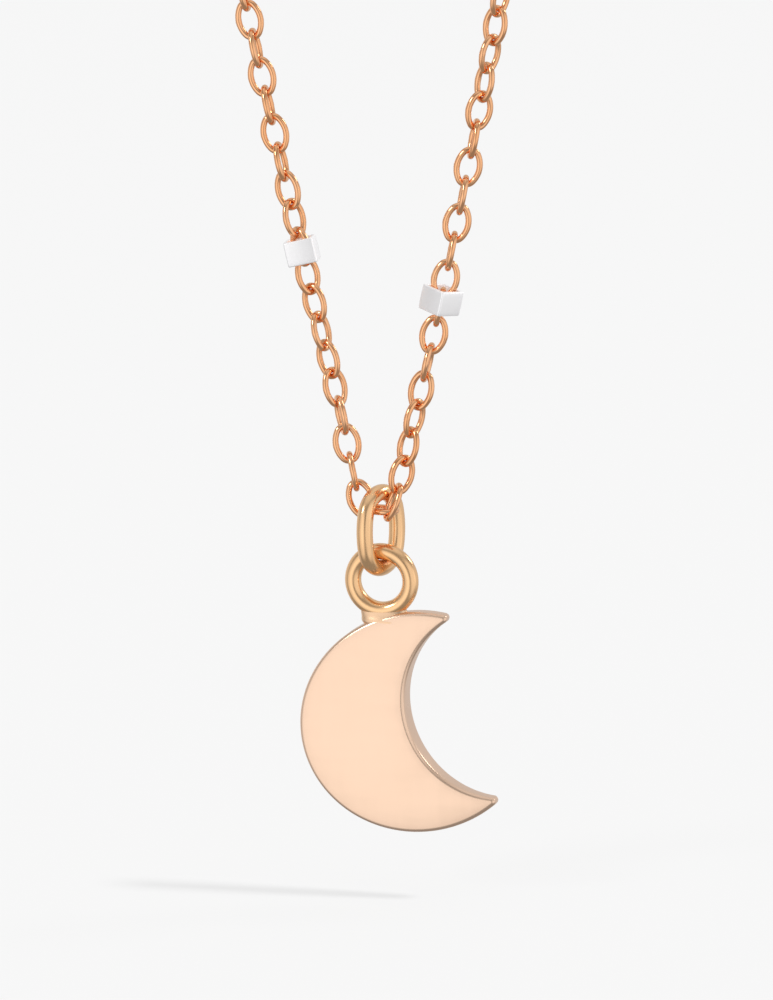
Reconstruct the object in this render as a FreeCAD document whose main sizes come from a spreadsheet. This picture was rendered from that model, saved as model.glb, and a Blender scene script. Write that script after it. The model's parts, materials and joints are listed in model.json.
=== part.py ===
import FreeCAD, Part
import math
import os

# A pendant necklace: an oval cable chain with small square beads hangs as a closed loop from a round
# rest at the nape, and carries an oval bail, a round ring and a crescent moon at its lowest point.
# Units are mm, +Z is up, the loop lies in the XZ plane and the front faces -Y.
# The origin is the top of the round rest, where the clasp lies at the nape.

V = FreeCAD.Vector
doc = FreeCAD.newDocument("pendant_necklace")

# ---------------------------------------------------------------- driving dimensions
DIMENSIONS = {
    # chain links: an oval of round wire
    "link_length": 2.09,
    "link_width": 1.44,
    "link_wire": 0.31,
    "link_end_radius": 0.42,
    # square tube beads
    "bead_side": 1.50,
    "bead_bore": 1.16,
    "bead_height": 1.25,
    # oval bail
    "bail_length": 4.65,
    "bail_width": 3.52,
    "bail_wire": 0.82,
    "bail_end_radius": 1.28,
    # round ring on the moon
    "ring_diameter": 3.80,
    "ring_wire": 0.82,
    # crescent moon plate
    "moon_thickness": 1.55,
    "moon_dome_radius": 77.0,
    "moon_dome_left": 2.30,
    "moon_dome_down": 0.60,
    "moon_half_width": 6.10,
    "moon_half_height": 5.58,
    "moon_turn": 18.0,
    "moon_hollow_radius": 4.86,
    "moon_hollow_right": 4.28,
    "moon_hollow_up": 1.13,
    "moon_tip_radius": 0.22,
    "moon_edge_radius": 0.17,
    "moon_right_of_ring": 1.80,
    "moon_below_ring": 7.11,
    # solder between the ring and the moon
    "solder_width": 2.25,
    "solder_height": 0.74,
    "solder_depth": 0.72,
    "solder_left_of_ring": 0.80,
    "solder_below_ring": 2.10,
    "solder_film": 0.06,
    # jump rings at the clasp
    "jump_diameter": 3.00,
    "jump_wire": 0.50,
    # lobster clasp, flat on the nape
    "claw_radius": 1.75,
    "claw_wire": 0.90,
    "claw_length": 3.71,
    "eye_radius": 0.85,
    "eye_wire": 0.90,
    "hub_radius": 1.70,
    "hub_thickness": 1.70,
    "lever_slot": 0.80,
    "lever_thickness": 0.70,
    "pin_diameter": 0.60,
    "pin_hole": 0.62,
    "spring_diameter": 0.58,
    "spring_wire": 0.12,
    "spring_length": 0.98,
    "spring_pitch": 0.24,
}

sheet = doc.addObject("Spreadsheet::Sheet", "Dimensions")
for row, (alias, value) in enumerate(DIMENSIONS.items(), start=1):
    sheet.set("A%d" % row, alias)
    sheet.set("B%d" % row, str(value))
    sheet.setAlias("B%d" % row, alias)
doc.recompute()

D = DIMENSIONS
CLEARANCE = 0.02          # gap left between two wires that pull on each other
PITCH = D["link_length"] - 2 * D["link_wire"] - CLEARANCE

# ---------------------------------------------------------------- the hanging loop
FREE_LINKS = 110          # links on each side that hang free of the rest
LOWEST_ANGLE = 14.3       # lean of the lowest links from the vertical, degrees
NAPE_LINKS = 25           # links on each side that lie on the rest
CLASP_HALF_REACH = 4.46   # from the middle of the clasp to the middle of the wire at its eye and its nose
CLASP_HEIGHT = 0.87       # middle plane of the clasp above the top of the rest
JUMP_HOLE = D["jump_diameter"] / 2 - D["jump_wire"]
JUMP_SEAT = JUMP_HOLE - (D["claw_wire"] + CLEARANCE) / 2    # from the clasp's wire to the jump ring's centre
JUMP_REACH = JUMP_SEAT + JUMP_HOLE - CLEARANCE / 2          # from the clasp's wire to the last link's joint
SPREAD = [6.6, -2.0, -2.0, -2.0]   # extra lean of the lowest links, which the bail pushes apart, degrees
BOTTOM_TURN = -21.0       # the bottom link and the bail are turned this far from the loop's plane
BOTTOM_SLACK = 0.025      # room where the lowest links hook under the bottom link
FAN_LINKS = 5             # links over which the strands come back into the loop's plane
SPLITS = [0, 5, 13, 21, 38, 56, 74, 92, 110]   # link joints where the drape may swing fore and aft
FIRST_BEAD = {"left": 9.35, "right": 7.75}     # in links from the bottom link
BEAD_SPACING = 17.5                            # in links, about 25 mm


LINKS = FREE_LINKS + NAPE_LINKS

# Turn of each strand about its own run, in degrees, at a few link numbers: the chain hangs with a slow twist.
TWIST = {
    "left": [(0, 14), (3, 20), (6, 64), (7.5, 74), (9, 52), (10, 54), (14, 96), (18, 92), (LINKS, 90)],
    "right": [(0, -67), (4, -26), (7, 14), (13, 18), (18, 68), (40, 90), (LINKS, 90)],
}


def hook_point(side):
    """The middle of the bottom link's wire where the lowest link of a strand hooks round its end."""
    sign = 1 if side == "right" else -1
    axis = FreeCAD.Rotation(V(0, 0, 1), BOTTOM_TURN).multVec(V(1, 0, 0))
    plane = FreeCAD.Rotation(V(0, 0, 1), TWIST[side][0][1]).multVec(V(1, 0, 0))
    straight = (D["link_length"] - D["link_wire"]) / 2 - D["link_end_radius"]
    return (axis * straight + plane * D["link_end_radius"]) * sign


HOOK_REACH = (hook_point("right").x - hook_point("left").x) / 2


def lean(weight_ratio, length):
    """Lean from the vertical, in radians, of a chain that hangs with a load at its lowest point."""
    return math.atan(math.tan(math.radians(LOWEST_ANGLE)) / (1 + length / weight_ratio))


def free_strand(weight_ratio):
    """Joint points (x, z) of the right-hand strand, from the bottom link's end at (0, 0) up."""
    points = [(0.0, 0.0)]
    for k in range(FREE_LINKS):
        a = lean(weight_ratio, (k + 0.5) * PITCH)
        if k < len(SPREAD):
            a += math.radians(SPREAD[k])
        x, z = points[-1]
        points.append((x + PITCH * math.sin(a), z + PITCH * math.cos(a)))
    return points


def bottom_offset():
    """Where the right-hand strand starts, under the bottom link's wire, relative to that link's centre."""
    a = math.radians(LOWEST_ANGLE + SPREAD[0])
    seat = D["link_wire"] / 2 + BOTTOM_SLACK
    return HOOK_REACH - seat * math.sin(a), -seat * math.cos(a)


def fan_in(side, t):
    """How far a strand still stands off the plane and the symmetry of the loop, t links up."""
    sign = 1 if side == "right" else -1
    return (hook_point(side) - V(sign * HOOK_REACH, 0, 0)) * max(0.0, 1 - t / FAN_LINKS)


def nape_misfit(weight_ratio):
    """How far, in radians, the chain on the rest is from meeting the clasp's jump ring."""
    top_x = free_strand(weight_ratio)[-1][0] + bottom_offset()[0]
    a = lean(weight_ratio, FREE_LINKS * PITCH)
    radius = top_x / math.cos(a)
    step = 2 * math.asin(PITCH / (2 * radius))
    return math.pi / 2 + a - NAPE_LINKS * step - ring_joint_angle(radius)


def ring_joint_angle(radius):
    """Angle from the top of the rest to the joint between the last link and the jump ring."""
    low, high = 0.0, math.pi / 4
    for _ in range(60):
        b = (low + high) / 2
        x = radius * math.sin(b)
        z = radius * (math.cos(b) - 1) + D["link_width"] / 2
        if math.hypot(x - CLASP_HALF_REACH, z - CLASP_HEIGHT) < JUMP_REACH or x < CLASP_HALF_REACH:
            low = b
        else:
            high = b
    return b


def solved_weight_ratio():
    """The load in mm of chain for which a whole number of links closes the loop."""
    low, high = 60.0, 200.0
    for _ in range(60):
        middle = (low + high) / 2
        if nape_misfit(middle) > 0:
            high = middle
        else:
            low = middle
    return middle


def loop_joints():
    """Joint points (x, z) of the right-hand half, from the bottom link to the jump ring, and the rest's radius."""
    ratio = solved_weight_ratio()
    strand = free_strand(ratio)
    dx, dz = bottom_offset()
    a = lean(ratio, FREE_LINKS * PITCH)
    radius = (strand[-1][0] + dx) / math.cos(a)
    centre_z = D["link_width"] / 2 - radius
    top_z = centre_z - radius * math.sin(a)
    drop = top_z - strand[-1][1]
    points = [(x + dx, z + drop) for x, z in strand]
    step = 2 * math.asin(PITCH / (2 * radius))
    for k in range(1, NAPE_LINKS + 1):
        b = math.pi / 2 + a - k * step
        points.append((radius * math.sin(b), centre_z + radius * math.cos(b)))
    return points, drop - dz, radius - D["link_width"] / 2


JOINTS, BOTTOM_Z, REST_RADIUS = loop_joints()


def twist_at(side, k):
    """Turn of link k of a strand, in degrees from the plane of the loop, without the quarter turns."""
    marks = TWIST[side]
    for (k0, t0), (k1, t1) in zip(marks, marks[1:]):
        if k <= k1:
            blend = (1 - math.cos(math.pi * (k - k0) / (k1 - k0))) / 2
            return t0 + (t1 - t0) * blend
    return marks[-1][1]


def strand_point(side, t):
    """A point of a strand, t links up from the bottom link."""
    k = min(int(t), LINKS - 1)
    (x0, z0), (x1, z1) = JOINTS[k], JOINTS[k + 1]
    f = t - k
    sign = 1 if side == "right" else -1
    return V(sign * (x0 + f * (x1 - x0)), 0, z0 + f * (z1 - z0)) + fan_in(side, t)


def strand_placement(side, t, turn):
    """Local X runs up the strand at t; local Y lies in the loop's plane, turned about the run."""
    k = min(int(t), LINKS - 1)
    run = (strand_point(side, k + 1) - strand_point(side, k)).normalize()
    if t == int(t) and t > 0:
        run = (strand_point(side, t + 1) - strand_point(side, t - 1)).normalize()
    across = V(0, 1, 0).cross(run).normalize()
    width = across * math.cos(math.radians(turn)) + run.cross(across) * math.sin(math.radians(turn))
    return FreeCAD.Placement(
        strand_point(side, t), FreeCAD.Rotation(run, width, run.cross(width), "XYZ")
    )


def link_turn(side, k):
    """Turn of the k-th link, counted from 1: every second link stands a quarter turn on."""
    return twist_at(side, k) + 90 * ((k + 1) % 2)


# ---------------------------------------------------------------- helpers
def bound(obj, **properties):
    """Binds each property of an object to an expression over the sheet's dimensions."""
    for name, expression in properties.items():
        obj.setExpression(name, expression)
    return obj


def cylinder(name, radius, height, placement=None):
    obj = doc.addObject("Part::Cylinder", name)
    bound(obj, Radius=radius, Height=height)
    obj.Placement = placement or FreeCAD.Placement()
    return obj


def cut(name, base, tool):
    obj = doc.addObject("Part::Cut", name)
    obj.Base = base
    obj.Tool = tool
    return obj


def fuse(name, shapes):
    obj = doc.addObject("Part::MultiFuse", name)
    obj.Shapes = shapes
    obj.Refine = True
    return obj


def torus(name, ring_radius, wire_radius, placement=None):
    obj = doc.addObject("Part::Torus", name)
    bound(obj, Radius1=ring_radius, Radius2=wire_radius)
    obj.Placement = placement or FreeCAD.Placement()
    return obj


def oval_ring(name, prefix):
    """A closed oval of round wire, long axis on X and wide axis on Y, from four tangent arcs."""
    half_length = "(Dimensions.%s_length - Dimensions.%s_wire) / 2" % (prefix, prefix)
    half_width = "(Dimensions.%s_width - Dimensions.%s_wire) / 2" % (prefix, prefix)
    end = "Dimensions.%s_end_radius" % prefix
    wire = "Dimensions.%s_wire / 2" % prefix
    run = "(%s - %s)" % (half_length, end)
    side = "((%s ^ 2 + (%s) ^ 2 - %s ^ 2) / (2 * (%s - %s)))" % (run, half_width, end, half_width, end)
    rise = "(%s - %s)" % (side, half_width)
    half_turn = "atan2(%s; %s)" % (rise, run)
    arcs = []
    for quarter in range(4):
        arc = doc.addObject("Part::Torus", "%s_arc_%d" % (name, quarter))
        at_end = quarter % 2 == 0
        sign = "1" if quarter < 2 else "-1"
        sweep = "2 * %s" % half_turn if at_end else "180 deg - 2 * %s" % half_turn
        start = "%d deg - %s" % (90 * quarter, half_turn if at_end else "(90 deg - %s)" % half_turn)
        bound(arc, Radius1=end if at_end else side, Radius2=wire, Angle3=sweep)
        bound(arc, **{".Placement.Rotation.Angle": start})
        if at_end:
            bound(arc, **{".Placement.Base.x": "%s * %s" % (sign, run)})
        else:
            bound(arc, **{".Placement.Base.y": "-%s * %s" % (sign, rise)})
        arcs.append(arc)
    return fuse(name, arcs)


def copies(name, shape, placements):
    """A group of separate, identical solids in one node."""
    solids = []
    for placement in placements:
        solid = shape.copy()
        solid.Placement = placement
        solids.append(solid)
    obj = doc.addObject("Part::Feature", name)
    obj.Shape = Part.makeCompound(solids)
    return obj


# ---------------------------------------------------------------- the chain
bottom_link = oval_ring("bottom_link", "link")
bottom_link.Placement = FreeCAD.Placement(V(0, 0, BOTTOM_Z), FreeCAD.Rotation(V(0, 0, 1), BOTTOM_TURN))

bead_outer = doc.addObject("Part::Box", "bead_outer")
bound(bead_outer, Length="Dimensions.bead_height", Width="Dimensions.bead_side", Height="Dimensions.bead_side")
bound(bead_outer, **{".Placement.Base.x": "-Dimensions.bead_height / 2"})
bound(bead_outer, **{".Placement.Base.y": "-Dimensions.bead_side / 2"})
bound(bead_outer, **{".Placement.Base.z": "-Dimensions.bead_side / 2"})
bead_bore = doc.addObject("Part::Box", "bead_bore")
bound(bead_bore, Length="Dimensions.bead_height + 1", Width="Dimensions.bead_bore", Height="Dimensions.bead_bore")
bound(bead_bore, **{".Placement.Base.x": "-Dimensions.bead_height / 2 - 0.5"})
bound(bead_bore, **{".Placement.Base.y": "-Dimensions.bead_bore / 2"})
bound(bead_bore, **{".Placement.Base.z": "-Dimensions.bead_bore / 2"})
bead = cut("bead_pattern", bead_outer, bead_bore)
doc.recompute()

link_shape = bottom_link.Shape.copy()
link_shape.Placement = FreeCAD.Placement()
bead_shape = bead.Shape.copy()


def bead_turn(side, t):
    """A bead holds the link planes on its diagonals."""
    return link_turn(side, int(t) + 1) + 45


def bead_places(side, start, end):
    places = []
    t = FIRST_BEAD[side]
    while t < LINKS:
        if start < t < end:
            places.append(strand_placement(side, t, bead_turn(side, t)))
        t += BEAD_SPACING
    return places


def link_places(side, start, end):
    return [strand_placement(side, k - 0.5, link_turn(side, k)) for k in range(start + 1, end + 1)]


chain_nodes = []
sections = list(zip(SPLITS, SPLITS[1:])) + [(SPLITS[-1], LINKS)]
for number, (start, end) in enumerate(sections, start=1):
    place = "nape" if start == SPLITS[-1] else "drape_%d" % number
    for side in ("left", "right"):
        chain_nodes.append(copies("links_%s_%s" % (place, side), link_shape, link_places(side, start, end)))
        beads = bead_places(side, start, end)
        if beads:
            chain_nodes.append(copies("beads_%s_%s" % (place, side), bead_shape, beads))

# ---------------------------------------------------------------- the bail
BAIL_SEAT = 0.40          # from the bottom link's centre down to the centre of the bail's upper arc
bail = oval_ring("bail", "bail")
bail_axis = V(math.cos(math.radians(BOTTOM_TURN)), math.sin(math.radians(BOTTOM_TURN)), 0)
bail_centre_z = BOTTOM_Z - BAIL_SEAT - ((D["bail_length"] - D["bail_wire"]) / 2 - D["bail_end_radius"])
bail.Placement = FreeCAD.Placement(
    V(0, 0, bail_centre_z), FreeCAD.Rotation(V(0, 0, 1), bail_axis.cross(V(0, 0, 1)), bail_axis, "XYZ")
)

# ---------------------------------------------------------------- ring, moon and solder
bail_bottom_z = bail_centre_z - (D["bail_length"] - D["bail_wire"]) / 2
ring_radius = (D["ring_diameter"] - D["ring_wire"]) / 2
ring_z = bail_bottom_z + (D["bail_wire"] + D["ring_wire"]) / 2 + CLEARANCE - ring_radius
upright = FreeCAD.Rotation(V(1, 0, 0), 90)      # turns local Z to face the front
ring_place = FreeCAD.Placement(V(0, 0, ring_z), upright)
RING_RADIUS = "(Dimensions.ring_diameter - Dimensions.ring_wire) / 2"
ring = torus("pendant_ring", RING_RADIUS, "Dimensions.ring_wire / 2", ring_place)
ring_seat = torus("ring_seat", RING_RADIUS, "Dimensions.ring_wire / 2 + Dimensions.solder_film", ring_place)

moon_centre = FreeCAD.Placement(V(D["moon_right_of_ring"], 0, ring_z - D["moon_below_ring"]), upright)
outline = doc.addObject("Part::Ellipse", "moon_outline")
bound(outline, MajorRadius="Dimensions.moon_half_width", MinorRadius="Dimensions.moon_half_height")
outline.Placement = moon_centre.multiply(
    FreeCAD.Placement(V(), FreeCAD.Rotation(V(0, 0, 1), D["moon_turn"]))
)
disc = doc.addObject("Part::Extrusion", "moon_disc")
disc.Base = outline
disc.DirMode = "Normal"
disc.Solid = True
disc.Symmetric = True
bound(disc, LengthFwd="Dimensions.moon_thickness")
hollow = cylinder("moon_hollow", "Dimensions.moon_hollow_radius", "4")
hollow.Placement = moon_centre.multiply(
    FreeCAD.Placement(V(D["moon_hollow_right"], D["moon_hollow_up"], -2), FreeCAD.Rotation())
)


def dome(name, side):
    """A ball whose near surface is one softly domed face of the moon; side is -1 for the front."""
    obj = doc.addObject("Part::Sphere", name)
    bound(obj, Radius="Dimensions.moon_dome_radius")
    sink = "%d * (Dimensions.moon_dome_radius - Dimensions.moon_thickness / 2)" % side
    bound(obj, **{".Placement.Base.y": sink})
    obj.Placement.Base.x = D["moon_right_of_ring"] - D["moon_dome_left"]
    obj.Placement.Base.z = ring_z - D["moon_below_ring"] - D["moon_dome_down"]
    return obj


domed = doc.addObject("Part::MultiCommon", "moon_domed")
domed.Shapes = [disc, dome("moon_front_dome", 1), dome("moon_back_dome", -1)]
crescent = cut("moon_crescent", domed, hollow)
doc.recompute()


def edges_where(shape, test):
    return [i for i, edge in enumerate(shape.Edges, start=1) if test(edge)]


def rounded(name, base, edges, radius):
    obj = doc.addObject("Part::Fillet", name)
    obj.Base = base
    obj.Edges = [(i, radius, radius) for i in edges]
    return obj


def is_tip(edge):
    """The two short edges that run through the thickness at the ends of the horns."""
    return edge.BoundBox.YLength > 0.3 and edge.BoundBox.XLength < 0.01


def is_rim(edge):
    """The edges round the front and back faces."""
    return abs(edge.CenterOfMass.y) > 0.1


tips = rounded("moon_tips", crescent, edges_where(crescent.Shape, is_tip), D["moon_tip_radius"])
doc.recompute()
rims = rounded("moon_rims", tips, edges_where(tips.Shape, is_rim), D["moon_edge_radius"])
doc.recompute()
moon = cut("moon", rims, ring_seat)

solder_block = doc.addObject("Part::Box", "solder_block")
bound(solder_block, Length="Dimensions.solder_width", Height="Dimensions.solder_height")
bound(solder_block, Width="Dimensions.solder_depth", **{".Placement.Base.y": "-Dimensions.solder_depth / 2"})
bound(solder_block, **{".Placement.Base.x": "-Dimensions.solder_left_of_ring"})
solder_block.Placement.Base.z = ring_z - D["solder_below_ring"]
solder = cut("solder_joint", cut("solder_room", solder_block, ring), moon)


# ---------------------------------------------------------------- jump rings
def jump_ring(name, side):
    """An upright jump ring between the clasp and the last link of one strand."""
    sign = 1 if side == "right" else -1
    x, z = JOINTS[-1]
    held = V(sign * CLASP_HALF_REACH, 0, CLASP_HEIGHT)
    pull = (V(sign * x, 0, z) - held).normalize()
    obj = torus(name, "(Dimensions.jump_diameter - Dimensions.jump_wire) / 2", "Dimensions.jump_wire / 2")
    obj.Placement = FreeCAD.Placement(held + pull * JUMP_SEAT, upright)
    return obj


jump_left = jump_ring("jump_ring_left", "left")
jump_right = jump_ring("jump_ring_right", "right")

# ---------------------------------------------------------------- lobster clasp
# It lies flat on the nape: the eye to the left, the claw's nose to the right, the lever towards +Y.
EYE_X = -CLASP_HALF_REACH + D["eye_radius"]
CLAW_X = CLASP_HALF_REACH - D["claw_radius"]
HUB_X = CLAW_X - D["claw_length"]
PIVOT_Y = 0.90


def flat_at(x, y):
    return FreeCAD.Placement(V(x, y, CLASP_HEIGHT), FreeCAD.Rotation())


def along_x(x, y):
    return FreeCAD.Placement(V(x, y, CLASP_HEIGHT), FreeCAD.Rotation(V(0, 1, 0), 90))


def centred(obj, thickness):
    """Centres a box or an upright cylinder of this thickness on the clasp's middle plane."""
    return bound(obj, **{"Height": thickness, ".Placement.Base.z": "%g - (%s) / 2" % (CLASP_HEIGHT, thickness)})


def block(name, low, high, thickness):
    """A box from low to high in X and Y."""
    obj = doc.addObject("Part::Box", name)
    obj.Length = high[0] - low[0]
    obj.Width = high[1] - low[1]
    obj.Placement.Base = V(low[0], low[1], 0)
    return centred(obj, thickness)


def upright_cylinder(name, radius, thickness, x, y):
    obj = doc.addObject("Part::Cylinder", name)
    bound(obj, Radius=radius)
    obj.Placement.Base = V(x, y, 0)
    return centred(obj, thickness)


def ball(name, radius, x, y):
    obj = doc.addObject("Part::Sphere", name)
    bound(obj, Radius=radius)
    obj.Placement = flat_at(x, y)
    return obj


CLAW_WIRE = "Dimensions.claw_wire / 2"
bow = torus("clasp_bow", "Dimensions.claw_radius", CLAW_WIRE)
bow.Angle3 = 180
bow.Placement = FreeCAD.Placement(V(CLAW_X, 0, CLASP_HEIGHT), FreeCAD.Rotation(V(0, 0, 1), -90))
bow_tip = ball("clasp_bow_tip", CLAW_WIRE, CLAW_X, D["claw_radius"])
spine = cylinder("clasp_spine", CLAW_WIRE, "Dimensions.claw_length", along_x(HUB_X, -D["claw_radius"]))
spine_end = ball("clasp_spine_end", CLAW_WIRE, HUB_X, -D["claw_radius"])
hub = upright_cylinder("clasp_hub", "Dimensions.hub_radius", "Dimensions.hub_thickness", HUB_X, 0)
eye = torus("clasp_eye", "Dimensions.eye_radius", "Dimensions.eye_wire / 2", flat_at(EYE_X, 0))
casting = fuse("clasp_casting", [bow, bow_tip, spine, spine_end, hub, eye])
through = "Dimensions.hub_thickness + 1"
slot = block("clasp_slot", (HUB_X - 0.55, -0.30), (HUB_X + 2.2, 2.4), "Dimensions.lever_slot")
pin_hole = upright_cylinder("clasp_pin_hole", "Dimensions.pin_hole / 2", through, HUB_X, PIVOT_Y)
pocket = cylinder("clasp_pocket", "Dimensions.spring_diameter / 2 + 0.02", "1.1", along_x(HUB_X - 1.45, 0.15))
slotted = cut("clasp_slotted", casting, slot)
drilled = cut("clasp_drilled", slotted, pin_hole)
clasp_body = cut("clasp_body", drilled, pocket)

LEVER = "Dimensions.lever_thickness"
arm = block("lever_arm", (HUB_X, 0.57), (HUB_X + 4.0, 1.23), LEVER)
tab = block("lever_tab", (HUB_X - 0.30, PIVOT_Y), (HUB_X + 0.30, 2.60), LEVER)
heel = block("lever_heel", (HUB_X - 0.40, -0.15), (HUB_X + 0.10, PIVOT_Y), LEVER)
boss = upright_cylinder("lever_boss", "0.5", LEVER, HUB_X, PIVOT_Y)
lever_hole = upright_cylinder("lever_hole", "Dimensions.pin_hole / 2", through, HUB_X, PIVOT_Y)
lever = cut("clasp_lever", fuse("lever_blank", [arm, tab, heel, boss]), lever_hole)

pin = upright_cylinder("clasp_pin", "Dimensions.pin_diameter / 2", "Dimensions.hub_thickness", HUB_X, PIVOT_Y)

coil = doc.addObject("Part::Helix", "spring_path")
bound(coil, Radius="(Dimensions.spring_diameter - Dimensions.spring_wire) / 2")
bound(coil, Height="Dimensions.spring_length - Dimensions.spring_wire", Pitch="Dimensions.spring_pitch")
wire = doc.addObject("Part::Circle", "spring_section")
bound(wire, Radius="Dimensions.spring_wire / 2")
wire.Placement = FreeCAD.Placement(
    V((D["spring_diameter"] - D["spring_wire"]) / 2, 0, 0), FreeCAD.Rotation(V(1, 0, 0), 90)
)
spring = doc.addObject("Part::Sweep", "clasp_spring")
spring.Sections = [wire]
spring.Spine = (coil, ["Edge1"])
spring.Solid = True
spring.Frenet = True
spring.Placement = along_x(HUB_X - 1.38, 0.15)
doc.recompute()

# ---------------------------------------------------------------- check and write
nodes = [bottom_link, bail, ring, moon, solder, jump_left, jump_right, clasp_body, lever, pin, spring]
nodes += chain_nodes
for obj in doc.Objects:
    if "Invalid" in obj.State or "Error" in obj.State:
        raise RuntimeError("%s did not rebuild: %s" % (obj.Label, obj.State))
os.makedirs("parts", exist_ok=True)
for obj in nodes:
    if obj.Shape.isNull() or not obj.Shape.isValid() or not obj.Shape.Solids:
        raise RuntimeError("%s is not a valid solid" % obj.Label)
    obj.Shape.exportStep("parts/%s.step" % obj.Label)
    print(obj.Label, len(obj.Shape.Solids), round(obj.Shape.Volume, 4))
print("rest radius", round(REST_RADIUS, 3), "bottom link", round(BOTTOM_Z, 3), "links", 2 * LINKS + 1)
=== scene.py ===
import json
import math

import bmesh
import bpy
import numpy as np
from mathutils import Matrix, Vector

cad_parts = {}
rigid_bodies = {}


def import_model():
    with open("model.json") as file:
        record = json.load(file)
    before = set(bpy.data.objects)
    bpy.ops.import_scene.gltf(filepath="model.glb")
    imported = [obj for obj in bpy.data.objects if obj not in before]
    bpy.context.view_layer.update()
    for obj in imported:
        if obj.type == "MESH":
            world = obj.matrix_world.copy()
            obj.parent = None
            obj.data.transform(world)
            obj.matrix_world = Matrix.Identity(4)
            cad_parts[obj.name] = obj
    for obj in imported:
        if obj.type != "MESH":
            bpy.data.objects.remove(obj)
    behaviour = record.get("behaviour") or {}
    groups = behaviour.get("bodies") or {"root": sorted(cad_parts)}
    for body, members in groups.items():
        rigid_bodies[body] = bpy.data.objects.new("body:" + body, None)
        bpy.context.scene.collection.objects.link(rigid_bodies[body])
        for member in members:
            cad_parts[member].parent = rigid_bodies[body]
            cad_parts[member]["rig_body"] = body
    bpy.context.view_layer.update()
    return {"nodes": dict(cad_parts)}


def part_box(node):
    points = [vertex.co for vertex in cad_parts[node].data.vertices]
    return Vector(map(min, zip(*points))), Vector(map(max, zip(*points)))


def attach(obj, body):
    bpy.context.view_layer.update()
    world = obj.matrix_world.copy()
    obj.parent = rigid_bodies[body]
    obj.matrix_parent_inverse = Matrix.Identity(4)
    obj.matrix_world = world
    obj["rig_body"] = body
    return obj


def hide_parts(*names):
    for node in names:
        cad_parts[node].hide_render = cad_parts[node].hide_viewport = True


# A pendant necklace hangs over a pale floor: rose-gold cable chain, silver beads, bail, ring and crescent.
# The frame is in metres; the piece functions work in millimetres and scale when they make the mesh.

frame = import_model()

MM = 0.001

# dimensions that repeat the CAD model's, mm
LINK = dict(length=2.09, width=1.44, wire=0.31, end=0.42)
BAIL = dict(length=4.65, width=3.52, wire=0.82, end=1.28)
RING_DIAMETER, RING_WIRE = 3.80, 0.82
JUMP_DIAMETER, JUMP_WIRE = 3.00, 0.50
BEAD_SIDE, BEAD_BORE, BEAD_HEIGHT = 1.50, 1.16, 1.25
MOON_HALF_WIDTH, MOON_HALF_HEIGHT, MOON_THICKNESS = 6.10, 5.58, 1.55
MOON_TURN = math.radians(18.0)
MOON_RIGHT_OF_RING, MOON_BELOW_RING = 1.80, 7.11
HOLLOW_RIGHT, HOLLOW_UP, HOLLOW_RADIUS = 4.28, 1.13, 4.86
DOME_LEFT, DOME_DOWN, DOME_RADIUS = 2.30, 0.60, 77.0
MOON_TIP_RADIUS = 0.22

CAMERA_AZIMUTH, CAMERA_ELEVATION, CAMERA_ROLL = 16.0, 11.0, 1.0
CAMERA_DISTANCE = 0.5
FIELD_HEIGHT = 0.050
PALE = 0.93               # the background that the camera sees
FLOOR_BELOW_MOON = 3.45   # mm
FLOOR_GREY, FLOOR_GLOW = 0.16, 0.70
ROOM = 0.42               # the studio's light away from its soft boxes


# ---------------------------------------------------------------- reading the frame
def triangles_of(node):
    """Welded vertices and triangles of a CAD node, in mm."""
    mesh = frame["nodes"][node].data
    mesh.calc_loop_triangles()
    points = np.zeros(len(mesh.vertices) * 3)
    mesh.vertices.foreach_get("co", points)
    corners = np.zeros(len(mesh.loop_triangles) * 3, int)
    mesh.loop_triangles.foreach_get("vertices", corners)
    points, welded = np.unique(points.reshape(-1, 3), axis=0, return_inverse=True)
    return points / MM, welded.reshape(-1)[corners].reshape(-1, 3)


def solids_of(node):
    """The node's separate solids, each as an array of triangles (n, 3 corners, xyz), in mm."""
    points, tris = triangles_of(node)
    label = np.arange(len(points))
    while True:
        lowest = label[tris].min(axis=1)
        new = label.copy()
        for corner in range(3):
            np.minimum.at(new, tris[:, corner], lowest)
        new = new[new]
        if np.array_equal(new, label):
            break
        label = new
    owner = label[tris[:, 0]]
    return [points[tris[owner == k]] for k in np.unique(owner)]


def upward(axis):
    """The same line, pointing up, or to +X where it is level."""
    key = axis[2] if abs(axis[2]) > 1e-3 else axis[0]
    return axis if key >= 0 else -axis


def place_of(tris):
    """Centre of a solid and its long, middle and thin axes as columns."""
    normals = np.cross(tris[:, 1] - tris[:, 0], tris[:, 2] - tris[:, 0])
    areas = np.linalg.norm(normals, axis=1) / 2
    middles = tris.mean(axis=1)
    centre = (middles * areas[:, None]).sum(axis=0) / areas.sum()
    offsets = middles - centre
    spread = (offsets * areas[:, None]).T @ offsets
    vectors = np.linalg.eigh(spread)[1]
    long_axis, thin_axis = upward(vectors[:, 2]), upward(vectors[:, 0])
    return centre, np.column_stack([long_axis, np.cross(thin_axis, long_axis), thin_axis])


def bead_place(tris):
    """Centre of a square tube, its axis and its two side directions as columns."""
    normals = np.cross(tris[:, 1] - tris[:, 0], tris[:, 2] - tris[:, 0])
    areas = np.linalg.norm(normals, axis=1) / 2
    unit = normals / (2 * areas[:, None])
    centre = (tris.mean(axis=1) * areas[:, None]).sum(axis=0) / areas.sum()
    axis = upward(np.linalg.eigh((unit * areas[:, None]).T @ unit)[1][:, 0])
    side = unit[np.argmax(areas)]
    return centre, np.column_stack([axis, side, np.cross(axis, side)])


# ---------------------------------------------------------------- mesh helpers
def strip_faces(rows, columns, closed_rows, closed_columns):
    """Quads between neighbouring rows of points."""
    faces = []
    for i in range(rows if closed_rows else rows - 1):
        for j in range(columns if closed_columns else columns - 1):
            a, b = i * columns, ((i + 1) % rows) * columns
            k = (j + 1) % columns
            faces.append((a + j, b + j, b + k, a + k))
    return np.array(faces)


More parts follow.
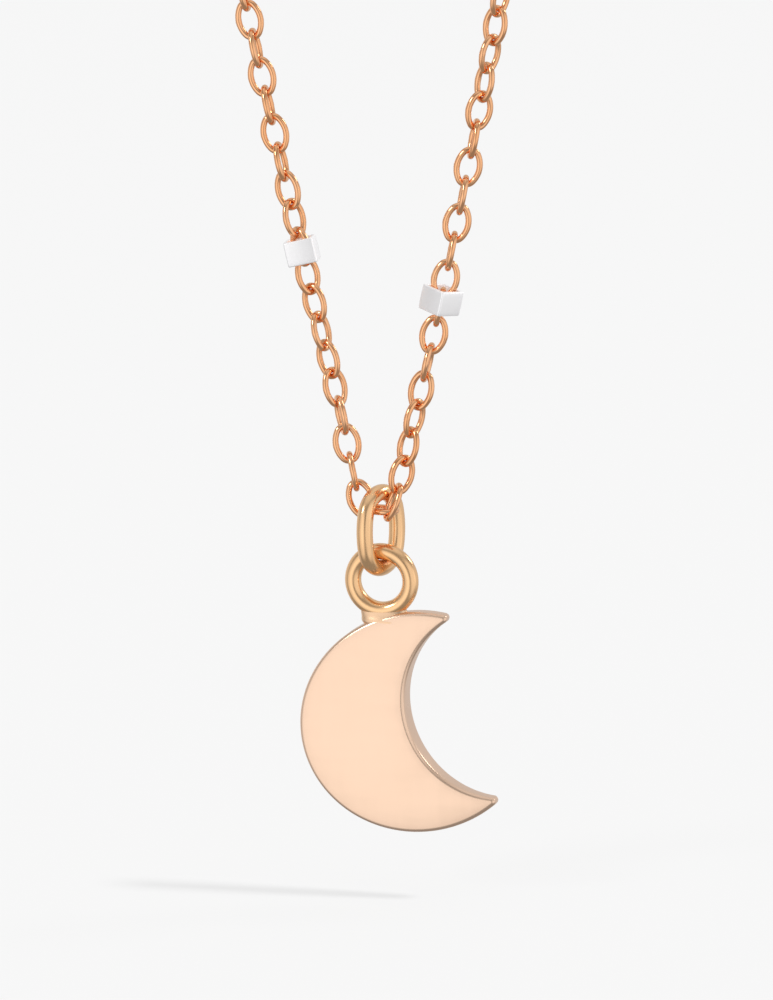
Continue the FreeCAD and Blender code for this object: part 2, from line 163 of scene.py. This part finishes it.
def make_object(name, points, faces, attributes=None):
    """A smooth-shaded mesh object from points in mm. Only the crescent's shadow is switched on again."""
    mesh = bpy.data.meshes.new(name)
    mesh.from_pydata((np.asarray(points) * MM).tolist(), [], [list(map(int, f)) for f in faces])
    for key, values in (attributes or {}).items():
        layer = mesh.attributes.new(key, "FLOAT", "POINT")
        layer.data.foreach_set("value", np.asarray(values, np.float32))
    made = bpy.data.objects.new(name, mesh)
    made.visible_shadow = False
    bpy.context.scene.collection.objects.link(made)
    build = bmesh.new()
    build.from_mesh(mesh)
    bmesh.ops.remove_doubles(build, verts=build.verts, dist=1e-8)
    bmesh.ops.recalc_face_normals(build, faces=build.faces)
    build.to_mesh(mesh)
    build.free()
    mesh.polygons.foreach_set("use_smooth", [True] * len(mesh.polygons))
    return made


def oval_line(length, width, wire, end, end_steps, side_steps):
    """Centreline of an oval of four tangent arcs: points and outward directions in its plane."""
    half_length, half_width = (length - wire) / 2, (width - wire) / 2
    run = half_length - end
    side = (run**2 + half_width**2 - end**2) / (2 * (half_width - end))
    rise = side - half_width
    turn = math.atan2(rise, run)
    points, outward = [], []
    for quarter in range(4):
        at_end = quarter % 2 == 0
        half = turn if at_end else math.pi / 2 - turn
        sign = 1 if quarter < 2 else -1
        centre = (sign * run, 0) if at_end else (0, -sign * rise)
        radius = end if at_end else side
        steps = end_steps if at_end else side_steps
        for k in range(steps):
            a = quarter * math.pi / 2 - half + 2 * half * k / steps
            points.append((centre[0] + radius * math.cos(a), centre[1] + radius * math.sin(a), 0))
            outward.append((math.cos(a), math.sin(a), 0))
    return np.array(points), np.array(outward)


def wire_tube(line, outward, radii, sides):
    """Points of a round wire along a line in the XY plane, one row of sides to each point."""
    a = 2 * np.pi * np.arange(sides) / sides
    in_plane, across = np.cos(a)[None, :, None], np.sin(a)[None, :, None]
    r = np.asarray(radii)[:, None, None]
    tube = line[:, None, :] + r * (in_plane * outward[:, None, :] + across * np.array([0, 0, 1.0]))
    return tube.reshape(-1, 3)


def many(name, pattern, faces, places, attributes):
    """One mesh of the same pattern at several places. Every second copy is turned over."""
    points, all_faces, values = [], [], {key: [] for key in attributes}
    for number, (centre, axes) in enumerate(places):
        flip = np.array([1, -1, -1]) if number % 2 else np.array([1, 1, 1])
        points.append((pattern * flip) @ axes.T + centre)
        all_faces.append(faces + number * len(pattern))
        for key, value in attributes.items():
            values[key].append(value)
    joined = {key: np.concatenate(value) for key, value in values.items()}
    return make_object(name, np.concatenate(points), np.concatenate(all_faces), joined)


# ---------------------------------------------------------------- materials
def add_node(tree, kind, settings=(), **inputs):
    made = tree.nodes.new(kind)
    for key, value in dict(settings).items():
        setattr(made, key, value)
    for key, value in inputs.items():
        socket = made.inputs[key.replace("_", " ")]
        if isinstance(value, bpy.types.NodeSocket):
            tree.links.new(value, socket)
        else:
            socket.default_value = value
    return made


def noise(tree, vector, scale, detail=3.0, stretch=(1, 1, 1)):
    mapping = add_node(tree, "ShaderNodeMapping", Vector=vector, Scale=stretch)
    made = add_node(tree, "ShaderNodeTexNoise", Vector=mapping.outputs[0], Scale=scale, Detail=detail)
    return made.outputs[0]


def ranged(tree, value, low, high, from_low=0.3, from_high=0.7):
    made = add_node(tree, "ShaderNodeMapRange", Value=value)
    made.inputs["From Min"].default_value = from_low
    made.inputs["From Max"].default_value = from_high
    made.inputs["To Min"].default_value = low
    made.inputs["To Max"].default_value = high
    return made.outputs[0]


def calculated(tree, operation, *values):
    made = tree.nodes.new("ShaderNodeMath")
    made.operation = operation
    for socket, value in zip(made.inputs, values):
        if isinstance(value, bpy.types.NodeSocket):
            tree.links.new(value, socket)
        else:
            socket.default_value = value
    return made.outputs[0]


def metal(name, colour, deep, roughness, scratches, waviness, wear_roughness=0.08, metallic=1.0):
    """Polished plate: slow drifts of tone, fine polishing scratches and softer, rubbed edges."""
    material = bpy.data.materials.new(name)
    material.use_nodes = True
    tree = material.node_tree
    shader = tree.nodes["Principled BSDF"]
    shader.inputs["Metallic"].default_value = metallic
    place = add_node(tree, "ShaderNodeTexCoord").outputs["Object"]
    wear = add_node(tree, "ShaderNodeAttribute", settings=dict(attribute_name="wear")).outputs["Fac"]
    drift = noise(tree, place, 260.0, 2.0)
    tone = ranged(tree, drift, 0.0, 1.0)
    paint = add_node(tree, "ShaderNodeMix", settings=dict(data_type="RGBA"))
    tree.links.new(tone, paint.inputs[0])
    paint.inputs[6].default_value = (*deep, 1)
    paint.inputs[7].default_value = (*colour, 1)
    tree.links.new(paint.outputs[2], shader.inputs["Base Color"])
    lines = noise(tree, place, 2600.0, 4.0, stretch=(1.0, 1.0, 0.12))
    cross = noise(tree, place, 2100.0, 3.0, stretch=(0.15, 1.0, 1.0))
    scratch = calculated(tree, "MULTIPLY", lines, cross)
    rough = ranged(tree, scratch, roughness - scratches, roughness + scratches, 0.12, 0.4)
    rough = calculated(tree, "ADD", rough, calculated(tree, "MULTIPLY", wear, wear_roughness))
    tree.links.new(rough, shader.inputs["Roughness"])
    slow = noise(tree, place, 420.0, 1.0)
    height = calculated(tree, "ADD", calculated(tree, "MULTIPLY", slow, waviness), scratch)
    bump = add_node(tree, "ShaderNodeBump", Height=height, Distance=1.2e-6, Strength=0.5)
    tree.links.new(bump.outputs[0], shader.inputs["Normal"])
    return material


CHAIN_GOLD = metal("chain_gold", (0.96, 0.53, 0.29), (0.94, 0.47, 0.23), 0.12, 0.04, 2.0)
FITTING_GOLD = metal("fitting_gold", (0.97, 0.62, 0.34), (0.95, 0.59, 0.31), 0.22, 0.05, 3.0)
NECK_GOLD = metal("neck_gold", (0.92, 0.63, 0.41), (0.91, 0.61, 0.39), 0.28, 0.05, 3.0)
MOON_GOLD = metal("moon_gold", (0.90, 0.645, 0.48), (0.89, 0.635, 0.47), 0.18, 0.03, 3.0, 0.12)
SILVER = metal("silver", (0.98, 0.97, 0.98), (0.96, 0.95, 0.96), 0.36, 0.05, 2.0, metallic=0.7)
STEEL = metal("steel", (0.60, 0.60, 0.61), (0.54, 0.54, 0.56), 0.30, 0.06, 2.0)


def finish_piece(piece, material, node):
    """Material, slot, body and the CAD node it stands for."""
    piece.data.materials.clear()
    piece.data.materials.append(material)
    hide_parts(node)
    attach(piece, frame["nodes"][node]["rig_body"])
    return piece


# ---------------------------------------------------------------- the chain
def link_pattern():
    """One link: a drawn wire bent to an oval, with a slight swelling where it is soldered shut."""
    sides, seam_length, swelling = 14, 0.10, 0.05
    end_from, end_blend = 0.62, 0.2
    line, outward = oval_line(LINK["length"], LINK["width"], LINK["wire"], LINK["end"], 14, 18)
    seam = np.exp(-((line[:, 0] / seam_length) ** 2)) * (line[:, 1] > 0)
    radii = LINK["wire"] / 2 * (1 + swelling * seam)
    inner_end = np.clip((np.abs(line[:, 0]) - end_from) / end_blend, 0, 1)
    facing_in = np.clip(-np.cos(2 * np.pi * np.arange(sides) / sides), 0, 1)
    wear = 0.6 * inner_end[:, None] * facing_in[None, :] + seam[:, None]
    points = wire_tube(line, outward, radii, sides)
    return points, strip_faces(len(line), sides, True, True), wear.reshape(-1)


def rounded_square(half, corner, steps=5):
    """Outline of a square with round corners."""
    points = []
    for quarter in range(4):
        for k in range(steps + 1):
            a = quarter * math.pi / 2 + k * math.pi / 2 / steps
            cx = (half - corner) * (1 if quarter in (0, 3) else -1)
            cy = (half - corner) * (1 if quarter in (0, 1) else -1)
            points.append((cx + corner * math.cos(a), cy + corner * math.sin(a)))
    return points


def bead_pattern():
    """A square tube with softened corners, rounded rims and faintly crowned sides."""
    outer, inner, end = BEAD_SIDE / 2, BEAD_BORE / 2, BEAD_HEIGHT / 2
    corner, rim, bore_corner, bore_rim, crown = 0.10, 0.06, 0.04, 0.03, 0.012
    rows, wear = [], []
    for k in range(-4, 5):
        x = k / 4 * (end - rim)
        rows.append((x, outer + crown * (1 - (k / 4) ** 2), corner))
        wear.append(0.0)
    for sign in (1, -1):
        ring = []
        for k in range(1, 5):
            a = k / 4 * math.pi / 2
            ring.append((sign * (end - rim + rim * math.sin(a)), outer - rim + rim * math.cos(a), corner))
        for k in range(1, 4):
            a = k / 3 * math.pi / 2
            x = sign * (end - bore_rim * (1 - math.cos(a)))
            ring.append((x, inner + bore_rim * (1 - math.sin(a)), bore_corner))
        rows = rows + ring if sign > 0 else ring[::-1] + rows
        wear = wear + [1.0] * len(ring) if sign > 0 else [1.0] * len(ring) + wear
    outlines = [[(x, u, v) for u, v in rounded_square(half, radius)] for x, half, radius in rows]
    columns = len(outlines[0])
    points = np.array(outlines).reshape(-1, 3)
    return points, strip_faces(len(rows), columns, True, True), np.repeat(wear, columns)


def chain():
    link_points, link_faces, link_wear = link_pattern()
    bead_points, bead_faces, bead_wear = bead_pattern()
    for node in sorted(frame["nodes"]):
        if node.startswith("links_") or node == "bottom_link":
            places = [place_of(solid) for solid in solids_of(node)]
            piece = many("chain_" + node, link_points, link_faces, places, {"wear": link_wear})
            finish_piece(piece, CHAIN_GOLD, node)
        elif node.startswith("beads_"):
            places = [bead_place(solid) for solid in solids_of(node)]
            piece = many("square_" + node, bead_points, bead_faces, places, {"wear": bead_wear})
            finish_piece(piece, SILVER, node)


# ---------------------------------------------------------------- bail, ring and jump rings
def round_line(radius, steps, gap=0.0):
    """Centreline of a ring; gap is the angle left open at its split."""
    if gap:
        a = gap / 2 + (2 * np.pi - gap) * np.arange(steps) / (steps - 1)
    else:
        a = 2 * np.pi * np.arange(steps) / steps
    outward = np.column_stack([np.cos(a), np.sin(a), 0 * a])
    return outward * radius, outward


def closed_wire(name, node, line, outward, wire, sides=36):
    places = [place_of(solid) for solid in solids_of(node)]
    radii = np.full(len(line), wire / 2)
    points = wire_tube(line, outward, radii, sides)
    faces = strip_faces(len(line), sides, True, True)
    inward = np.clip(-np.cos(2 * np.pi * np.arange(sides) / sides), 0, 1)
    ends = np.clip((np.abs(line[:, 0]) / np.abs(line[:, 0]).max() - 0.8) / 0.2, 0, 1)
    wear = (0.5 * ends[:, None] * inward[None, :]).reshape(-1)
    piece = many(name, points, faces, places, {"wear": wear})
    return finish_piece(piece, FITTING_GOLD, node)


def bail_and_ring():
    line, outward = oval_line(BAIL["length"], BAIL["width"], BAIL["wire"], BAIL["end"], 40, 48)
    closed_wire("oval_bail", "bail", line, outward, BAIL["wire"])
    line, outward = round_line((RING_DIAMETER - RING_WIRE) / 2, 128)
    closed_wire("round_ring", "pendant_ring", line, outward, RING_WIRE)


def jump_ring(name, node):
    """A jump ring, bent shut, with the hairline of its saw cut."""
    steps, sides = 96, 24
    line, outward = round_line((JUMP_DIAMETER - JUMP_WIRE) / 2, steps, gap=math.radians(1.2))
    points = wire_tube(line, outward, np.full(steps, JUMP_WIRE / 2), sides)
    faces = strip_faces(steps, sides, False, True).tolist()
    faces.append(list(range(sides)))
    faces.append(list(range((steps - 1) * sides, steps * sides)))
    centre, axes = place_of(solids_of(node)[0])
    thin = axes[:, 2]
    down = np.array([0, 0, -1.0])
    side = np.cross(thin, down)
    axes = np.column_stack([side, np.cross(thin, side), thin])
    piece = make_object(name, points @ axes.T + centre, faces, {"wear": np.zeros(len(points))})
    finish_piece(piece, FITTING_GOLD, node)


# ---------------------------------------------------------------- the moon
TURN_COS, TURN_SIN = math.cos(MOON_TURN), math.sin(MOON_TURN)
TO_ELLIPSE = np.array([[TURN_COS, -TURN_SIN], [TURN_SIN, TURN_COS]])


def ellipse_inset(t, inset):
    """Point of the moon's outer edge at angle t, moved in by inset, and the outward direction there."""
    a, b = MOON_HALF_WIDTH, MOON_HALF_HEIGHT
    normal = np.array([b * math.cos(t), a * math.sin(t)])
    normal /= np.linalg.norm(normal)
    point = np.array([a * math.cos(t), b * math.sin(t)]) - inset * normal
    return TO_ELLIPSE @ point, TO_ELLIPSE @ normal


HOLLOW = np.array([HOLLOW_RIGHT, HOLLOW_UP])


def horn(inset, sign):
    """Angle on the outer edge where the inset outline comes to a point; sign 1 is the upper horn."""
    facing = math.atan2(HOLLOW_UP, HOLLOW_RIGHT) - MOON_TURN
    low, high = facing, facing + sign * math.pi
    for _ in range(50):
        middle = (low + high) / 2
        gap = np.linalg.norm(ellipse_inset(middle, inset)[0] - HOLLOW) - HOLLOW_RADIUS - inset
        low, high = (middle, high) if gap < 0 else (low, middle)
    return middle


def arc(centre, radius, start, end, steps):
    """Points on an arc the short way from direction start to direction end."""
    a = math.atan2(start[1], start[0])
    turn = (math.atan2(end[1], end[0]) - a + math.pi) % (2 * math.pi) - math.pi
    angles = a + turn * np.arange(steps) / (steps - 1)
    return centre + radius * np.column_stack([np.cos(angles), np.sin(angles)])


def crescent_outline(inset, outer_steps=150, inner_steps=110, tip_steps=9):
    """The crescent's outline moved in by inset, its horns rounded, as one closed run of points."""
    kept = max(inset, MOON_TIP_RADIUS)
    upper, lower = horn(kept, 1), horn(kept, -1) + 2 * math.pi
    outer = [ellipse_inset(t, inset)[0] for t in np.linspace(upper, lower, outer_steps)]
    upper_tip, upper_normal = ellipse_inset(upper, kept)
    lower_tip, lower_normal = ellipse_inset(lower, kept)
    to_hollow_up, to_hollow_low = HOLLOW - upper_tip, HOLLOW - lower_tip
    tip_radius = kept - inset
    lower_arc = arc(lower_tip, tip_radius, lower_normal, to_hollow_low, tip_steps)
    inner = arc(HOLLOW, HOLLOW_RADIUS + inset, -to_hollow_low, -to_hollow_up, inner_steps)
    upper_arc = arc(upper_tip, tip_radius, to_hollow_up, upper_normal, tip_steps)
    return np.concatenate([outer, lower_arc[1:], inner[1:], upper_arc[1:-1]])


def pillow(points, reach, depth):
    """How far the face falls away near both edges."""
    x, z = (points @ TO_ELLIPSE).T
    a, b = MOON_HALF_WIDTH, MOON_HALF_HEIGHT
    level = np.sqrt((x / a) ** 2 + (z / b) ** 2)
    slope = np.sqrt((x / a**2) ** 2 + (z / b**2) ** 2) / level
    from_outer = np.clip((1 - level) / slope / reach, 0, 1)
    from_hollow = np.clip((np.linalg.norm(points - HOLLOW, axis=1) - HOLLOW_RADIUS) / reach, 0, 1)
    return depth * (1 - from_outer * (2 - from_outer) * from_hollow * (2 - from_hollow))


def dome(points):
    """How far the domed faces fall away towards the horns."""
    middle = np.array([-DOME_LEFT, -DOME_DOWN])
    return ((points - middle) ** 2).sum(axis=1) / (2 * DOME_RADIUS)


def moon():
    """A crescent plate with a straight edge wall, rounded rims and a softly pillowed face on both sides."""
    rim, reach, depth, inradius = 0.19, 1.5, 0.05, 2.49
    rows = []
    for k in range(9):
        a = k / 8 * math.pi / 2
        rows.append((rim * (1 - math.cos(a)), rim * (1 - math.sin(a))))
    for k in range(1, 27):
        rows.append((rim + (inradius - rim) * (k / 26) ** 1.4, 0.0))
    sheets, wear = [], []
    for inset, drop in rows:
        outline = crescent_outline(inset)
        y = MOON_THICKNESS / 2 - drop - dome(outline) - pillow(outline, reach, depth)
        sheets.append(np.column_stack([outline[:, 0], -y, outline[:, 1]]))
        wear.append(np.full(len(outline), max(0.0, 1 - inset / 0.5)))
    columns = len(sheets[0])
    front = sheets[::-1]
    back = [sheet * np.array([1, -1, 1]) for sheet in sheets]
    points = np.concatenate(front + back)
    faces = strip_faces(2 * len(rows), columns, False, True).tolist()
    faces += [list(range(columns)), list(range(len(points) - columns, len(points)))]
    low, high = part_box("pendant_ring")
    ring = (low + high) / 2 / MM
    centre = np.array([ring.x + MOON_RIGHT_OF_RING, 0, ring.z - MOON_BELOW_RING])
    attributes = {"wear": np.concatenate(wear[::-1] + wear)}
    piece = make_object("crescent_moon", points + centre, faces, attributes)
    piece.visible_shadow = True
    return finish_piece(piece, MOON_GOLD, "moon")


def solder_neck():
    """The filleted neck of solder that runs from the ring down into the moon's top edge."""
    low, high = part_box("pendant_ring")
    middle = (low + high) / 2 / MM
    sections = [
        # below the ring's centre, middle x, half width, half depth
        (1.20, 0.06, 1.00, 0.22),
        (1.42, 0.08, 1.18, 0.37),
        (1.58, 0.10, 1.20, 0.41),
        (1.74, 0.15, 1.22, 0.44),
        (1.88, 0.22, 1.28, 0.49),
        (2.02, 0.32, 1.40, 0.54),
        (2.16, 0.46, 1.45, 0.54),
        (2.34, 0.60, 1.36, 0.46),
        (2.54, 0.70, 1.10, 0.30),
    ]
    steps = 48
    points = []
    for below, x, half_width, half_depth in sections:
        for k in range(steps):
            c, s = math.cos(2 * math.pi * k / steps), math.sin(2 * math.pi * k / steps)
            u = math.copysign(abs(c) ** 0.75, c) * half_width
            v = math.copysign(abs(s) ** 0.75, s) * half_depth
            points.append((middle.x + x + u, v, middle.z - below))
    faces = strip_faces(len(sections), steps, False, True).tolist()
    faces += [list(range(steps)), list(range(len(points) - steps, len(points)))]
    piece = make_object("solder_neck", points, faces, {"wear": np.zeros(len(points))})
    subdivide = piece.modifiers.new("smooth", "SUBSURF")
    subdivide.render_levels = subdivide.levels = 2
    return finish_piece(piece, NECK_GOLD, "solder_joint")


# ---------------------------------------------------------------- clasp
def clasp():
    """The CAD clasp stays as it is, with its own finishes."""
    gold = ["clasp_body", "clasp_lever"]
    steel = ["clasp_pin", "clasp_spring"]
    for node, material in [(node, FITTING_GOLD) for node in gold] + [(node, STEEL) for node in steel]:
        piece = frame["nodes"][node]
        piece.data.materials.clear()
        piece.data.materials.append(material)


# ---------------------------------------------------------------- stage, light and camera
def direction(azimuth, elevation):
    """From the object towards a point at that azimuth, 0 in front and 90 to the right, and elevation."""
    a, e = math.radians(azimuth), math.radians(elevation)
    return Vector((math.sin(a) * math.cos(e), -math.cos(a) * math.cos(e), math.sin(e)))


def floor():
    """A pale table with a glow of its own, so that the shadow on it stays light."""
    low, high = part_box("moon")
    z = low.z - FLOOR_BELOW_MOON * MM
    reach = 6.0
    corners = [(-reach, -reach, z), (reach, -reach, z), (reach, reach, z), (-reach, reach, z)]
    mesh = bpy.data.meshes.new("floor")
    mesh.from_pydata(corners, [], [(0, 1, 2, 3)])
    made = bpy.data.objects.new("floor", mesh)
    bpy.context.scene.collection.objects.link(made)
    material = bpy.data.materials.new("pale_table")
    material.use_nodes = True
    tree = material.node_tree
    tree.nodes.clear()
    matte = add_node(tree, "ShaderNodeBsdfDiffuse", Color=(FLOOR_GREY, FLOOR_GREY, FLOOR_GREY, 1))
    glow = add_node(tree, "ShaderNodeEmission", Color=(1, 1, 1, 1), Strength=FLOOR_GLOW)
    both = tree.nodes.new("ShaderNodeAddShader")
    tree.links.new(matte.outputs[0], both.inputs[0])
    tree.links.new(glow.outputs[0], both.inputs[1])
    out = tree.nodes.new("ShaderNodeOutputMaterial")
    tree.links.new(both.outputs[0], out.inputs["Surface"])
    mesh.materials.append(material)
    made.visible_glossy = False


def studio():
    """A light tent: pale to the camera; for light and reflections a dimmer room with broad soft boxes.

    A box of negative strength is a dark strip, which gives the polished wires their lines.
    """
    world = bpy.data.worlds.new("studio")
    bpy.context.scene.world = world
    world.use_nodes = True
    tree = world.node_tree
    tree.nodes.clear()
    look = add_node(tree, "ShaderNodeTexCoord").outputs["Generated"]
    boxes = [
        # azimuth, elevation, full out to, gone beyond, strength
        (-29, -6, 20, 48, 0.74),
        (-17, -9, 0, 26, 0.30),
        (-112, 0, 16, 46, 0.45),
        (58, 0, 22, 46, 0.75),
        (108, 0, 14, 34, 0.50),
        (180, 0, 34, 62, 0.42),
        (0, 90, 20, 55, 0.55),
        (14, 4, 3, 15, -0.22),
        (-56, 5, 3, 12, -0.22),
    ]
    total = ROOM
    for azimuth, elevation, inside, outside, strength in boxes:
        dot = add_node(tree, "ShaderNodeVectorMath", settings=dict(operation="DOT_PRODUCT"))
        tree.links.new(look, dot.inputs[0])
        dot.inputs[1].default_value = direction(azimuth, elevation)
        soft = add_node(tree, "ShaderNodeMapRange", settings=dict(interpolation_type="SMOOTHSTEP"))
        tree.links.new(dot.outputs["Value"], soft.inputs["Value"])
        soft.inputs["From Min"].default_value = math.cos(math.radians(outside))
        soft.inputs["From Max"].default_value = math.cos(math.radians(inside))
        soft.inputs["To Max"].default_value = strength
        total = calculated(tree, "ADD", total, soft.outputs[0])
    room = add_node(tree, "ShaderNodeBackground", Strength=total)
    pale = add_node(tree, "ShaderNodeBackground", Color=(PALE, PALE, PALE, 1), Strength=1.0)
    seen = add_node(tree, "ShaderNodeLightPath").outputs["Is Camera Ray"]
    mix = tree.nodes.new("ShaderNodeMixShader")
    tree.links.new(seen, mix.inputs[0])
    tree.links.new(room.outputs[0], mix.inputs[1])
    tree.links.new(pale.outputs[0], mix.inputs[2])
    out = tree.nodes.new("ShaderNodeOutputWorld")
    tree.links.new(mix.outputs[0], out.inputs["Surface"])


def lamp(name, kind, azimuth, elevation, energy, size, distance=0.6, aim=(0, 0, -0.18)):
    """A lamp aimed at the pendant; size is a disc's diameter in metres or the sun's width in degrees."""
    data = bpy.data.lights.new(name, kind)
    data.energy = energy
    if kind == "AREA":
        data.shape = "DISK"
        data.size = size
    else:
        data.angle = math.radians(size)
    made = bpy.data.objects.new(name, data)
    bpy.context.scene.collection.objects.link(made)
    towards = direction(azimuth, elevation)
    made.location = Vector(aim) + towards * distance
    made.rotation_mode = "QUATERNION"
    made.rotation_quaternion = towards.to_track_quat("Z", "Y")
    made.visible_camera = False
    return made


def lights():
    shadow_sun = lamp("shadow_sun", "SUN", 90, 48, 2.9, size=8.0)
    shadow_sun.visible_glossy = False
    lamp("key_box", "AREA", -40, 30, 0.60, size=0.16)
    lamp("rim_box", "AREA", 130, 30, 0.40, size=0.16)


def camera():
    """A long lens, a little to the right and above, aimed over the ring."""
    data = bpy.data.cameras.new("camera")
    made = bpy.data.objects.new("camera", data)
    bpy.context.scene.collection.objects.link(made)
    back = direction(CAMERA_AZIMUTH, CAMERA_ELEVATION)
    level_up = (Vector((0, 0, 1)) - back * back.z).normalized()
    level_right = level_up.cross(back)
    roll = math.radians(CAMERA_ROLL)
    right = level_right * math.cos(roll) - level_up * math.sin(roll)
    up = level_up * math.cos(roll) + level_right * math.sin(roll)
    low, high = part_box("pendant_ring")
    aim = (low + high) / 2 + right * 0.235 * MM + up * 4.02 * MM
    turn = Matrix((right, up, back)).transposed()
    made.rotation_mode = "QUATERNION"
    made.rotation_quaternion = turn.to_quaternion()
    made.location = aim + back * CAMERA_DISTANCE
    data.sensor_width = 36.0
    data.lens = 36.0 * CAMERA_DISTANCE / FIELD_HEIGHT
    data.clip_start, data.clip_end = 0.01, 20.0
    bpy.context.scene.camera = made


camera()
chain()
bail_and_ring()
jump_ring("jump_ring_at_eye", "jump_ring_left")
jump_ring("jump_ring_at_claw", "jump_ring_right")
moon()
solder_neck()
clasp()
floor()
studio()
lights()
bpy.context.scene.view_settings.view_transform = "Standard"
